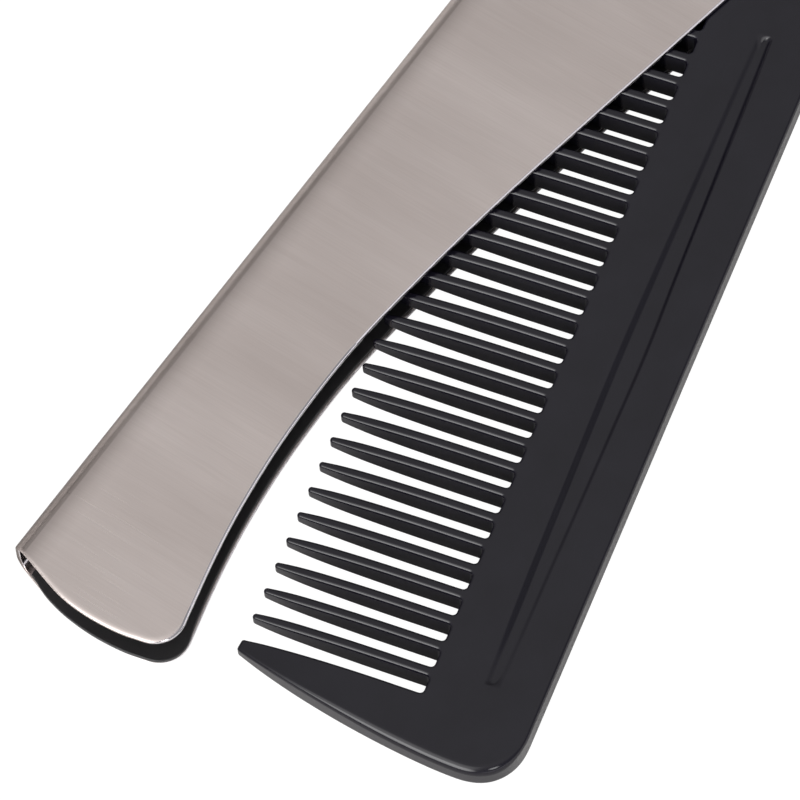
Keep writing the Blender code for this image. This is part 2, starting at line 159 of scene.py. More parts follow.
class Shape:
    """Vertices with known normals, in mm in a flat or folded domain, and faces between them."""

    def __init__(self, place):
        self.place = place        # (a, b, h, na, nb, nh) -> position, normal, in mm
        self.flat, self.co, self.no, self.faces = [], [], [], []

    def vert(self, a, b, h, n):
        p, q = self.place(a, b, h, n)
        self.flat.append((a, b))
        self.co.append(p)
        self.no.append(q)
        return len(self.co) - 1

    def bridge(self, one, two, closed=True):
        n = len(one)
        for i in range(n if closed else n - 1):
            j = (i + 1) % n
            self.faces.append((one[i], one[j], two[j], two[i]))

    def fill(self, rings, extra=()):
        """Triangles between the rings (the first is the outside), kept to the lines in extra."""
        ids = [i for ring in rings for i in ring]
        known = set(ids)
        for pair in extra:
            for i in pair:
                if i not in known:
                    known.add(i)
                    ids.append(i)
        at = {v: k for k, v in enumerate(ids)}
        edges = []
        for ring in rings:
            edges += [(at[a], at[b]) for a, b in zip(ring, list(ring[1:]) + [ring[0]])]
        edges += [(at[a], at[b]) for a, b in extra]
        pts = [Vector(self.flat[i]) for i in ids]
        out = delaunay_2d_cdt(pts, edges, [], 0, 1e-7)
        verts, faces, origin = out[0], out[2], out[3]
        new = []
        for k, v in enumerate(verts):
            if origin[k]:
                new.append(ids[origin[k][0]])
            else:
                new.append(None)
        loops = [[self.flat[i] for i in ring] for ring in rings]
        middle = [tuple(sum((verts[i] for i in f), Vector((0, 0))) / len(f)) for f in faces]
        keep = inside(middle, loops)
        for f, k in zip(faces, keep):
            if k and None not in [new[i] for i in f]:
                self.faces.append(tuple(new[i] for i in f))

    def make(self, name, material, uv=None):
        mesh = bpy.data.meshes.new(name)
        mesh.from_pydata([tuple(c * 0.001 for c in p) for p in self.co], [], self.faces)
        bm = bmesh.new()
        bm.from_mesh(mesh)
        bmesh.ops.recalc_face_normals(bm, faces=bm.faces)
        volume = bm.calc_volume(signed=True)
        if volume < 0:
            bmesh.ops.reverse_faces(bm, faces=bm.faces)
        loose = [e for e in bm.edges if len(e.link_faces) != 2]
        print("piece", name, "faces", len(bm.faces), "open or crowded edges", len(loose),
              "volume mm3 %.2f" % (abs(volume) * 1e9))
        bm.to_mesh(mesh)
        bm.free()
        mesh.shade_smooth()
        normals = []
        vn = [Vector(n).normalized() for n in self.no]
        limit = math.cos(math.radians(48))
        for poly in mesh.polygons:
            fn = poly.normal
            for i in poly.loop_indices:
                n = vn[mesh.loops[i].vertex_index]
                normals.append(tuple(n if n.dot(fn) > limit else fn))
        mesh.normals_split_custom_set(normals)
        if uv:
            layer = mesh.uv_layers.new(name="grain")
            for lp in mesh.loops:
                layer.data[lp.index].uv = uv(self.flat[lp.vertex_index])
        mesh.materials.append(material)
        obj = bpy.data.objects.new(name, mesh)
        scene.collection.objects.link(obj)
        return obj


def profile_normals(profile):
    """(in, up) normals of a rim profile given as (distance in from the edge, height)."""
    p = np.array(profile, float)
    d = np.diff(p, axis=0)
    d /= np.linalg.norm(d, axis=1, keepdims=True)
    t = np.vstack([d[:1], d[:-1] + d[1:], d[-1:]])
    t /= np.linalg.norm(t, axis=1, keepdims=True)
    return np.c_[-t[:, 1], t[:, 0]]


# ------------------------------------------------------------------ node helpers
def graph(name):
    mat = bpy.data.materials.new(name)
    mat.use_nodes = True
    tree = mat.node_tree
    shader = tree.nodes["Principled BSDF"]
    return mat, tree, shader


def node(tree, kind, inputs=None, **props):
    n = tree.nodes.new(kind)
    for k, v in props.items():
        setattr(n, k, v)
    for k, v in (inputs or {}).items():
        if isinstance(v, bpy.types.NodeSocket):
            tree.links.new(v, n.inputs[k])
        else:
            n.inputs[k].default_value = v
    return n


def stretched(tree, scale, rotation=(0, 0, 0)):
    coord = node(tree, "ShaderNodeTexCoord")
    return node(tree, "ShaderNodeMapping", {"Vector": coord.outputs["Object"], "Scale": scale, "Rotation": rotation}).outputs["Vector"]


def noise(tree, vector, scale=1.0, detail=2.0, rough=0.5, distortion=0.0):
    return node(tree, "ShaderNodeTexNoise", {"Vector": vector, "Scale": scale, "Detail": detail,
                                             "Roughness": rough, "Distortion": distortion}).outputs["Fac"]


def ramp(tree, fac, stops, interpolation="LINEAR"):
    n = node(tree, "ShaderNodeValToRGB", {"Fac": fac})
    n.color_ramp.interpolation = interpolation
    while len(n.color_ramp.elements) < len(stops):
        n.color_ramp.elements.new(0.5)
    for e, (pos, col) in zip(n.color_ramp.elements, stops):
        e.position = pos
        e.color = (*col, 1.0) if len(col) == 3 else col
    return n.outputs["Color"]


def span(tree, fac, lo, hi, a=0.0, b=1.0):
    """fac from a..b to lo..hi."""
    return node(tree, "ShaderNodeMapRange", {"Value": fac, "From Min": a, "From Max": b, "To Min": lo, "To Max": hi}).outputs["Result"]


def math_node(tree, op, a, b=None):
    n = tree.nodes.new("ShaderNodeMath")
    n.operation = op
    for i, v in enumerate((a, b)):
        if v is None:
            continue
        if isinstance(v, bpy.types.NodeSocket):
            tree.links.new(v, n.inputs[i])
        else:
            n.inputs[i].default_value = v
    return n.outputs[0]


def mix_color(tree, fac, a, b, blend="MIX"):
    n = node(tree, "ShaderNodeMix", data_type="RGBA", blend_type=blend)
    for key, v in (("Factor", fac), ("A", a), ("B", b)):
        sock = [s for s in n.inputs if s.name == key and s.type == ("VALUE" if key == "Factor" else "RGBA")][0]
        if isinstance(v, bpy.types.NodeSocket):
            tree.links.new(v, sock)
        else:
            sock.default_value = v if key == "Factor" else (*v, 1.0)
    return [s for s in n.outputs if s.type == "RGBA"][0]


# ------------------------------------------------------------------ materials
def steel_material():
    mat, t, s = graph("brushed_stainless")
    s.inputs["Metallic"].default_value = 1.0
    s.inputs["Anisotropic"].default_value = 0.55
    tangent = node(t, "ShaderNodeTangent", direction_type="UV_MAP", uv_map="grain")
    t.links.new(tangent.outputs["Tangent"], s.inputs["Tangent"])
    fine = noise(t, stretched(t, (9000, 160, 160)), 1.0, 3.0, 0.6)        # hairlines across the plate
    mid = noise(t, stretched(t, (1500, 60, 60)), 1.0, 3.0, 0.55)
    broad = noise(t, stretched(t, (95, 28, 28), (0, 0, 0.25)), 1.0, 3.0, 0.55)
    patch = noise(t, stretched(t, (38, 34, 34), (0, 0, 0.5)), 1.0, 2.0, 0.5, 0.6)
    base = mix_color(t, span(t, broad, 0.0, 1.0, 0.30, 0.70), (0.785, 0.694, 0.664), (0.935, 0.840, 0.812))
    base = mix_color(t, span(t, fine, 0.0, 0.22, 0.35, 0.75), base, (0.66, 0.58, 0.55))
    base = mix_color(t, span(t, mid, 0.0, 0.16, 0.45, 0.75), base, (0.93, 0.855, 0.835))
    # painted shade: the base colour is darkened along the fold and into the flat beside it, most of all near the free
    # end
    place = node(t, "ShaderNodeSeparateXYZ", {"Vector": node(t, "ShaderNodeTexCoord").outputs["Object"]})
    wander = span(t, patch, -0.00018, 0.00018, 0.3, 0.7)
    from_spine = math_node(t, "ADD", math_node(t, "SUBTRACT", 0.007, place.outputs["Y"]), wander)
    tone = ramp(t, span(t, from_spine, 0.0, 1.0, 0.0, 0.0034),
                [(0.0, (0.20, 0.18, 0.17)), (0.10, (0.31, 0.285, 0.275)), (0.20, (0.60, 0.58, 0.57)), (0.30, (0.84, 0.825, 0.82)),
                 (0.48, (0.84, 0.832, 0.83)), (0.68, (0.93, 0.927, 0.925)), (1.0, (1.0, 1.0, 1.0))])
    # the painted shade weakens toward the pivot end
    painted_shade_fade = span(t, place.outputs["X"], 0.0, 0.55, -0.038, 0.035)
    tone = mix_color(t, painted_shade_fade, tone, (1.0, 1.0, 1.0))
    base = mix_color(t, 1.0, base, tone, "MULTIPLY")
    # the open edge, picked by its -Y-facing normal, is polished smoother without the brushed grain (lower roughness),
    # and its base colour is made whiter and lilac as a painted highlight
    facing = node(t, "ShaderNodeSeparateXYZ", {"Vector": node(t, "ShaderNodeTexCoord").outputs["Normal"]})
    polish_and_painted_highlight = span(t, facing.outputs["Y"], 1.0, 0.0, -0.55, -0.25)
    # painted highlight: whiter, lilac base colour on the -Y-facing edge
    base = mix_color(t, polish_and_painted_highlight, base, (0.93, 0.90, 0.93))
    t.links.new(base, s.inputs["Base Color"])
    r = math_node(t, "ADD", span(t, fine, -0.035, 0.035, 0.3, 0.7), span(t, patch, 0.30, 0.40, 0.3, 0.7))
    r = math_node(t, "MULTIPLY", r, span(t, polish_and_painted_highlight, 1.0, 0.28, 0.0, 1.0))
    t.links.new(r, s.inputs["Roughness"])
    lines = math_node(t, "ADD", math_node(t, "MULTIPLY", fine, 0.6), math_node(t, "MULTIPLY", mid, 0.4))
    bump = node(t, "ShaderNodeBump", {"Height": lines, "Strength": 0.16, "Distance": 0.00003})
    # a few stray scratches, off the grain
    scratch = node(t, "ShaderNodeTexVoronoi", {"Vector": stretched(t, (420, 26, 60), (0.0, 0.0, 0.9)), "Scale": 1.0},
                   feature="DISTANCE_TO_EDGE")
    rare = span(t, noise(t, stretched(t, (160, 160, 160)), 1.0, 1.0), 0.0, 1.0, 0.66, 0.70)
    cut = math_node(t, "MULTIPLY", span(t, scratch.outputs["Distance"], 1.0, 0.0, 0.0, 0.012), rare)
    bump2 = node(t, "ShaderNodeBump", {"Height": cut, "Strength": 0.10, "Distance": 0.00002, "Normal": bump.outputs["Normal"]})
    bump2.invert = True
    t.links.new(bump2.outputs["Normal"], s.inputs["Normal"])
    return mat


def specks(t, cells, size, share, seed):
    """Sparse small dots: a few of the Voronoi cells hold one."""
    v = node(t, "ShaderNodeTexVoronoi", {"Vector": stretched(t, (cells, cells, cells), (seed, seed * 0.7, seed * 0.3)), "Scale": 1.0,
                                         "Randomness": 1.0}, feature="F1")
    near = span(t, v.outputs["Distance"], 1.0, 0.0, size * 0.5, size)
    sep = node(t, "ShaderNodeSeparateColor", {"Color": v.outputs["Color"]})
    pick = math_node(t, "GREATER_THAN", sep.outputs[0], 1.0 - share)
    return math_node(t, "MULTIPLY", near, pick)


def plastic_material(name, dark, light, rough, dust, peel):
    mat, t, s = graph(name)
    s.inputs["IOR"].default_value = 1.50
    cloud = noise(t, stretched(t, (180, 180, 180)), 1.0, 4.0, 0.6)
    base = mix_color(t, span(t, cloud, 0.0, 1.0, 0.35, 0.65), dark, light)
    dots = specks(t, 330, 0.10, 0.020, 1.3)
    hair = node(t, "ShaderNodeTexVoronoi", {"Vector": stretched(t, (95, 640, 300), (0.2, 0.1, 0.6)), "Scale": 1.0},
                feature="F1")
    hsep = node(t, "ShaderNodeSeparateColor", {"Color": hair.outputs["Color"]})
    hairs = math_node(t, "MULTIPLY", span(t, hair.outputs["Distance"], 1.0, 0.0, 0.05, 0.10),
                      math_node(t, "GREATER_THAN", hsep.outputs[0], 0.985))
    marks = math_node(t, "MAXIMUM", dots, hairs)
    base = mix_color(t, math_node(t, "MULTIPLY", marks, dust), base, (0.30, 0.28, 0.27))
    t.links.new(base, s.inputs["Base Color"])
    smear = noise(t, stretched(t, (60, 110, 60), (0, 0, 0.4)), 1.0, 3.0, 0.6, 0.8)
    r = math_node(t, "ADD", span(t, smear, rough - 0.03, rough + 0.04, 0.3, 0.7), math_node(t, "MULTIPLY", marks, 0.4))
    t.links.new(r, s.inputs["Roughness"])
    skin = noise(t, stretched(t, (700, 700, 700)), 1.0, 2.0, 0.5)
    grit = noise(t, stretched(t, (5200, 5200, 5200)), 1.0, 2.0, 0.6)
    height = math_node(t, "ADD", math_node(t, "MULTIPLY", skin, 1.0), math_node(t, "MULTIPLY", grit, 0.05))
    bump = node(t, "ShaderNodeBump", {"Height": height, "Strength": peel, "Distance": 0.00004})
    t.links.new(bump.outputs["Normal"], s.inputs["Normal"])
    return mat


def rivet_material(name, tint, rough):
    mat, t, s = graph(name)
    s.inputs["Metallic"].default_value = 1.0
    cloud = noise(t, stretched(t, (420, 420, 420)), 1.0, 4.0, 0.6)
    lines = noise(t, stretched(t, (5200, 700, 2600), (0, 0, 0.7)), 1.0, 3.0, 0.6)
    base = mix_color(t, span(t, cloud, 0.0, 1.0, 0.3, 0.7), tuple(c * 0.92 for c in tint), tint)
    t.links.new(base, s.inputs["Base Color"])
    t.links.new(math_node(t, "ADD", span(t, lines, rough - 0.03, rough + 0.05, 0.3, 0.7),
                          span(t, cloud, -0.02, 0.04, 0.3, 0.7)), s.inputs["Roughness"])
    bump = node(t, "ShaderNodeBump", {"Height": lines, "Strength": 0.10, "Distance": 0.00002})
    t.links.new(bump.outputs["Normal"], s.inputs["Normal"])
    return mat


def nylon_material():
    mat, t, s = graph("natural_nylon")
    s.inputs["IOR"].default_value = 1.53
    s.inputs["Subsurface Weight"].default_value = 0.15
    s.inputs["Subsurface Scale"].default_value = 0.0008
    cloud = noise(t, stretched(t, (300, 300, 300)), 1.0, 4.0, 0.6)
    t.links.new(mix_color(t, span(t, cloud, 0.0, 1.0, 0.3, 0.7), (0.52, 0.50, 0.44), (0.62, 0.60, 0.54)), s.inputs["Base Color"])
    t.links.new(span(t, cloud, 0.42, 0.55, 0.3, 0.7), s.inputs["Roughness"])
    bump = node(t, "ShaderNodeBump", {"Height": noise(t, stretched(t, (3000, 3000, 3000))), "Strength": 0.15, "Distance": 0.00003})
    t.links.new(bump.outputs["Normal"], s.inputs["Normal"])
    return mat


steel = steel_material()
comb_black = plastic_material("black_polished_plastic", (0.0070, 0.0062, 0.0112), (0.0096, 0.0088, 0.0148), 0.12, 0.75, 0.05)
liner_black = plastic_material("black_liner_plastic", (0.0190, 0.0185, 0.0200), (0.0240, 0.0235, 0.0250), 0.34, 1.0, 0.08)
rivet_steel = rivet_material("polished_rivet_steel", (0.66, 0.64, 0.61), 0.20)
tube_steel = rivet_material("rivet_tube_steel", (0.60, 0.58, 0.55), 0.27)
nylon = nylon_material()


# ------------------------------------------------------------------ steel sheet
def handle_place(x, y, z):
    """Handle mm to the part's frame, mm."""
    return (x - 40.0, 7.0 - y, z)


ROLL, ROLL_END = 0.15, 3.4


def sheet_place(a, s, h, n):
    """Point on the folded sheet: a along the handle, s round the fold (0 at the spine's
    middle, + to the front plate), h out from the sheet's middle."""
    side = 1.0 if s >= 0 else -1.0
    t = abs(s)
    if t <= WEB:
        y, z = SHEET_T / 2 - h, HANDLE_T / 2 + s
        out, along = (0.0, -1.0, 0.0), (0.0, 0.0, 1.0)
    elif t <= WEB + ARC:
        f = (t - WEB) / R_MID
        zc = HANDLE_T - BEND_R if side > 0 else BEND_R
        y = BEND_R - (R_MID + h) * math.cos(f)
        z = zc + side * (R_MID + h) * math.sin(f)
        out, along = (0.0, -math.cos(f), side * math.sin(f)), (0.0, side * math.sin(f), math.cos(f))
    else:
        y = BEND_R + t - WEB - ARC
        z = HANDLE_T - SHEET_T / 2 + h if side > 0 else SHEET_T / 2 - h
        out, along = (0.0, 0.0, side), (0.0, side, 0.0)
    q = [n[0], n[1] * along[1] + n[2] * out[1], n[1] * along[2] + n[2] * out[2]]
    # the front plate rolls gently into the fold instead of meeting it at a line
    g = max((z - HANDLE_T / 2) / (HANDLE_T / 2), 0.0)
    if g > 0 and y < ROLL_END:
        f = (ROLL_END - y) / (ROLL_END - BEND_R)
        w = ROLL * (ROLL_END - BEND_R) / 2.5 * f ** 2.5
        dw = -ROLL * f ** 1.5
        gg = g * g * (3 - 2 * g)
        dg = 6 * g * (1 - g) / (HANDLE_T / 2)
        k = max(1 - w * dg, 0.3)
        q = [q[0], q[1] + q[2] * dw * gg / k, q[2] / k]
        z -= w * gg
    return handle_place(a, y, z), (q[0], -q[1], q[2])


def s_of(y):
    return WEB + ARC + y - BEND_R


end_dense = smooth_path(END, 24)
end_x = [p[0] for p in end_dense]
end_y = [p[1] for p in end_dense]


def end_at(y):
    return float(np.interp(y, end_y, end_x))


def plate_path(recede, trim=0.0):
    """One plate's edge from the fold's free end, round the open corner, along the waisted
    edge and round the pivot end back to the fold. recede pulls the free end in."""
    def moved(p, share):
        return (p[0] + recede * share, p[1])

    start = [moved((end_at(y), y), smoothstep(y, 3.0, 8.0)) for y in np.linspace(BEND_R, 14.3, 30)]
    edge = [(x, y - trim * (1 - smoothstep(x, 45.0, 62.0)) + 0.08 * smoothstep(x, 50.0, 70.0))
            for x, y in smooth_path(EDGE, 8)]
    corner = rounded(OPEN_CORNER, END[-1], edge[0], OPEN_CORNER_R, 14)
    path = start + [moved(p, 1.0) for p in corner]
    slope = (EDGE[-1][1] - EDGE[-2][1]) / (EDGE[-1][0] - EDGE[-2][0])
    side = EDGE[-2][1] + 0.08 + slope * (PIVOT_X - EDGE[-2][0]) - PIVOT_Y
    a, b, c = 1 + slope ** 2, 2 * side * slope, side ** 2 - PLATE_R ** 2
    t = (-b + math.sqrt(b * b - 4 * a * c)) / (2 * a)
    meet = (PIVOT_X + t, PIVOT_Y + side + slope * t)
    begin = math.degrees(math.atan2(meet[1] - PIVOT_Y, meet[0] - PIVOT_X))
    path += [moved(p, 1 - smoothstep(p[0], 1.0, 6.0)) for p in edge if p[0] < meet[0] - 3.0 and p[0] > path[-1][0] + 0.2]
    ring = arc(PIVOT_X, PIVOT_Y, PLATE_R, begin, -90, 60)
    path += rounded(meet, path[-1], ring[4], 4.0, 12)
    path += ring[15:]
    return path


BEND_S = [WEB + ARC * j / 10 for j in range(11)]


def bend_point(s):
    f = (abs(s) - WEB) / R_MID if abs(s) > WEB else 0.0
    y = BEND_R - R_MID * math.cos(f) if abs(s) > WEB else SHEET_T / 2
    return (end_at(y), s)


front_path = plate_path(0.09, 0.07)
back_path = plate_path(0.27)
front_loop = [(x, s_of(y)) for x, y in front_path]
back_loop = [(x, -s_of(y)) for x, y in back_path]
notch_b = [(x, -s) for x, s in rounded((BEND_END_X, s_of(FLAT_Y)), (PIVOT_X, s_of(FLAT_Y)), (BEND_END_X, 0), 0.35, 4)]
notch_f = [(x, -s) for x, s in notch_b][::-1]
cut_line = [(BEND_END_X, s) for s in [-v for v in BEND_S[:0:-1]] + [-WEB, -WEB / 2, 0.0, WEB / 2] + [WEB] + BEND_S[1:]]
cut_line = [p for p in cut_line if abs(p[1]) < abs(notch_f[0][1]) - 0.01]
end_line = [bend_point(s) for s in [v for v in BEND_S[:0:-1]][1:] + [WEB, WEB / 2, 0.0, -WEB / 2, -WEB] + [-v for v in BEND_S[1:-1]]]
loop = back_loop + notch_b + cut_line + notch_f + front_loop[::-1] + end_line
# drop points that coincide
clean = []
for p in loop:
    if not clean or math.dist(p, clean[-1]) > 0.02:
        clean.append(p)
loop = clean if math.dist(clean[0], clean[-1]) > 0.02 else clean[:-1]
assert signed_area(loop) > 0

RIM_OUT = [(0.60, 0.2500), (0.50, 0.2472), (0.41, 0.2380), (0.32, 0.2210), (0.23, 0.1975), (0.155, 0.1720),
           (0.095, 0.1420), (0.048, 0.1000), (0.016, 0.0450), (0.0, -0.0150), (0.010, -0.0800), (0.050, -0.1500),
           (0.110, -0.2050), (0.210, -0.2500)]
RIM_SIDE = [(0.34, 0.2500), (0.26, 0.2490), (0.215, 0.2450), (0.185, 0.2365), (0.155, 0.2125), (0.110, 0.1710),
            (0.065, 0.1290), (0.030, 0.0850), (0.008, 0.0250), (0.0, -0.0560), (0.0, -0.1200), (0.008, -0.1750),
            (0.030, -0.2250), (0.075, -0.2500)]
RIM_BACK = [(0.40, 0.2500), (0.28, 0.2480), (0.19, 0.2400), (0.12, 0.2200), (0.065, 0.1800), (0.025, 0.1250),
            (0.005, 0.0600), (0.0, -0.0200), (0.0, -0.1000), (0.0, -0.1500), (0.012, -0.1950), (0.035, -0.2250),
            (0.065, -0.2420), (0.100, -0.2500)]

sheet = Shape(sheet_place)
inward = left_normals(loop)
rings = []
n_out, n_side, n_back = profile_normals(RIM_OUT), profile_normals(RIM_SIDE), profile_normals(RIM_BACK)
for k in range(len(RIM_OUT)):
    ring = []
    for (a, s), (ia, ib) in zip(loop, inward):
        front = smoothstep(s, -1.5, 1.5)
        end = 1 - smoothstep(a, -1.9, 3.2)
        fd, fh, fn = (RIM_OUT[k][i] * end + RIM_SIDE[k][i] * (1 - end) if i < 2 else n_out[k] * end + n_side[k] * (1 - end)
                      for i in (0, 1, 2))
        d = fd * front + RIM_BACK[k][0] * (1 - front)
        h = fh * front + RIM_BACK[k][1] * (1 - front)
        nn = fn * front + n_back[k] * (1 - front)
        if a < 30:
            wide = 0.55 + 0.45 * smoothstep(abs(s), 3.0, 9.0)
        else:
            wide = 0.80
        if a > BEND_END_X - 0.2 and abs(s) < s_of(FLAT_Y) + 0.1:
            wide = 0.45
        ring.append(sheet.vert(a + ia * d * wide, s + ib * d * wide, h, (nn[0] * ia, nn[0] * ib, nn[1])))
    rings.append(ring)
for one, two in zip(rings, rings[1:]):
    sheet.bridge(one, two)

# long lines that hold the fold's curve
def fold_lines(ring):
    by_s = {}
    lines = []
    left = [i for i, (a, s) in enumerate(loop) if a < 5 and abs(s) <= WEB + ARC + 0.001]
    right = [i for i, (a, s) in enumerate(loop) if a > 80 and abs(a - BEND_END_X) < 0.001]
    for i in left:
        j = min(right, key=lambda j: abs(loop[j][1] - loop[i][1]))
        if abs(loop[j][1] - loop[i][1]) < 0.03:
            lines.append((ring[i], ring[j]))
    return lines


def roll_lines(h, n):
    """Rows of vertices that carry the front plate's roll."""
    lines = []
    for y in (1.75, 1.95, 2.2, 2.5, 2.8, 3.1, 3.4):
        x0, x1 = end_at(y) + 0.85, 83.9 if y < 2.0 else 86.0
        row = [sheet.vert(x0 + (x1 - x0) * i / 26, s_of(y), h, (0.0, 0.0, n)) for i in range(27)]
        lines += list(zip(row, row[1:]))
    return lines


def hole(shape, cx, cy, profile, sides):
    """Rings of a round hole: profile is (radius, height, n_radial, n_up)."""
    out = []
    for r, h, nr, nh in profile:
        out.append([shape.vert(cx + r * math.cos(math.tau * i / sides), cy + r * math.sin(math.tau * i / sides), h,
                               (nr * math.cos(math.tau * i / sides), nr * math.sin(math.tau * i / sides), nh)) for i in range(sides)])
    for one, two in zip(out, out[1:]):
        shape.bridge(one, two)
    return out


front_hole = hole(sheet, PIVOT_X, s_of(PIVOT_Y), [(1.62, 0.25, 0, 1), (1.56, 0.19, -1, 0), (1.56, -0.19, -1, 0), (1.62, -0.25, 0, -1)], 48)
back_hole = hole(sheet, PIVOT_X, -s_of(PIVOT_Y), [(2.58, 0.25, 0, 1), (2.53, 0.22, -0.7, 0.7), (2.08, -0.23, -0.7, 0.7), (2.10, -0.25, 0, -1)], 48)
sheet.fill([rings[0], front_hole[0], back_hole[0]], fold_lines(rings[0]) + roll_lines(SHEET_T / 2, 1.0))
sheet.fill([rings[-1], front_hole[-1], back_hole[-1]], fold_lines(rings[-1]) + roll_lines(-SHEET_T / 2, -1.0))
steel_sheet = sheet.make("steel_sheet", steel, uv=lambda f: (f[1] * 0.01, f[0] * 0.01))


# ------------------------------------------------------------------ liner
def flat_place(x, y, z, n):
    return handle_place(x, y, z), (n[0], -n[1], n[2])


def slab(shape, loop, z0, z1, r, lip):
    """A flat plate with softly rounded top and bottom edges: returns top and bottom rings."""
    if signed_area(loop) < 0:
        loop = loop[::-1]
    inn = left_normals(loop)
    prof = [(r * (1 - math.sin(t)), z1 - r * (1 - math.cos(t)), math.sin(t), math.cos(t))
            for t in [math.pi / 2 * i / lip for i in range(lip + 1)]]
    prof += [(r * (1 - math.sin(t)), z0 + r * (1 - math.cos(t)), math.sin(t), -math.cos(t))
             for t in [math.pi / 2 * i / lip for i in range(lip, -1, -1)]]
    out = []
    for d, z, nr, nh in prof:
        out.append([shape.vert(x + a * d, y + b * d, z, (-a * nr, -b * nr, nh)) for (x, y), (a, b) in zip(loop, inn)])
    for one, two in zip(out, out[1:]):
        shape.bridge(one, two)
    return out[0], out[-1]


def inset(path, d):
    """An open path moved to its left by d, one value or one for each point."""
    p = np.array(path, float)
    t = np.vstack([p[1:2] - p[:1], p[2:] - p[:-2], p[-1:] - p[-2:-1]])
    t /= np.linalg.norm(t, axis=1, keepdims=True)
    return [tuple(v) for v in p + np.c_[-t[:, 1], t[:, 0]] * np.reshape(d, (-1, 1))]


sign = 1.0 if inset(back_path, 1.0)[60][1] < back_path[60][1] else -1.0
reach = np.array([sign * (0.15 - 0.31 * (1 - smoothstep(x, -1.4, 4.0)) * smoothstep(y, 1.2, 4.4)) for x, y in back_path])
liner_edge = [p for p in inset(back_path, reach) if p[1] > FLAT_Y + 0.15]
liner_loop = liner_edge + [(PIVOT_X - 0.5, FLAT_Y + 0.1), (PIVOT_X - 0.8, FLAT_Y + 0.1)]
liner_loop += line((80.0, FLAT_Y + 0.1), (liner_edge[0][0] + 0.25, FLAT_Y + 0.1), 24) + [(liner_edge[0][0] + 0.03, FLAT_Y + 0.12)]
liner_shape = Shape(flat_place)
LZ = SHEET_T + GLUE_T
top, bottom = slab(liner_shape, liner_loop, LZ, LZ + LINER_T, 0.08, 4)
liner_hole = hole(liner_shape, PIVOT_X, PIVOT_Y, [(1.90, LZ + LINER_T, 0, 1), (1.86, LZ + LINER_T - 0.04, -1, 0), (1.86, LZ + 0.04, -1, 0), (1.90, LZ, 0, -1)], 40)
liner_shape.fill([top, liner_hole[0]])
liner_shape.fill([bottom, liner_hole[-1]])
liner_sheet = liner_shape.make("liner_sheet", liner_black)


# ------------------------------------------------------------------ comb blade
CA, SA = math.cos(OPEN_ANGLE), math.sin(OPEN_ANGLE)
PX, PY, _ = handle_place(PIVOT_X, PIVOT_Y, 0)


def blade_place(u, v, h, n):
    du, dv = u - PIVOT_U, v - PIVOT_V
    return ((PX + du * CA - dv * SA, PY + du * SA + dv * CA, BLADE_Z + h),
            (n[0] * CA - n[1] * SA, n[0] * SA + n[1] * CA, n[2]))


def back_v(u):
    return BACK_V + BACK_SLOPE * u


LAST = (TEETH + 1) * PITCH + TOOTH_SHIFT - TOOTH_W / 2


def half_at(u, v):
    if u > LAST - 0.02 or v < 3.0:
        return BLADE_T / 2, 0.0
    s = (v - 3.0) / (TOOTH_LEN - 3.0)
    return (BLADE_T / 2 * (1 - 0.56 * s ** 2.3), -BLADE_T / 2 * 0.56 * 2.3 * s ** 1.3 / (TOOTH_LEN - 3.0))


def tooth_half(v):
    if v <= 11.0:
        return TOOTH_W / 2
    return TOOTH_W / 2 * (1 - 0.356 * ((v - 11.0) / 4.64) ** 2.46)


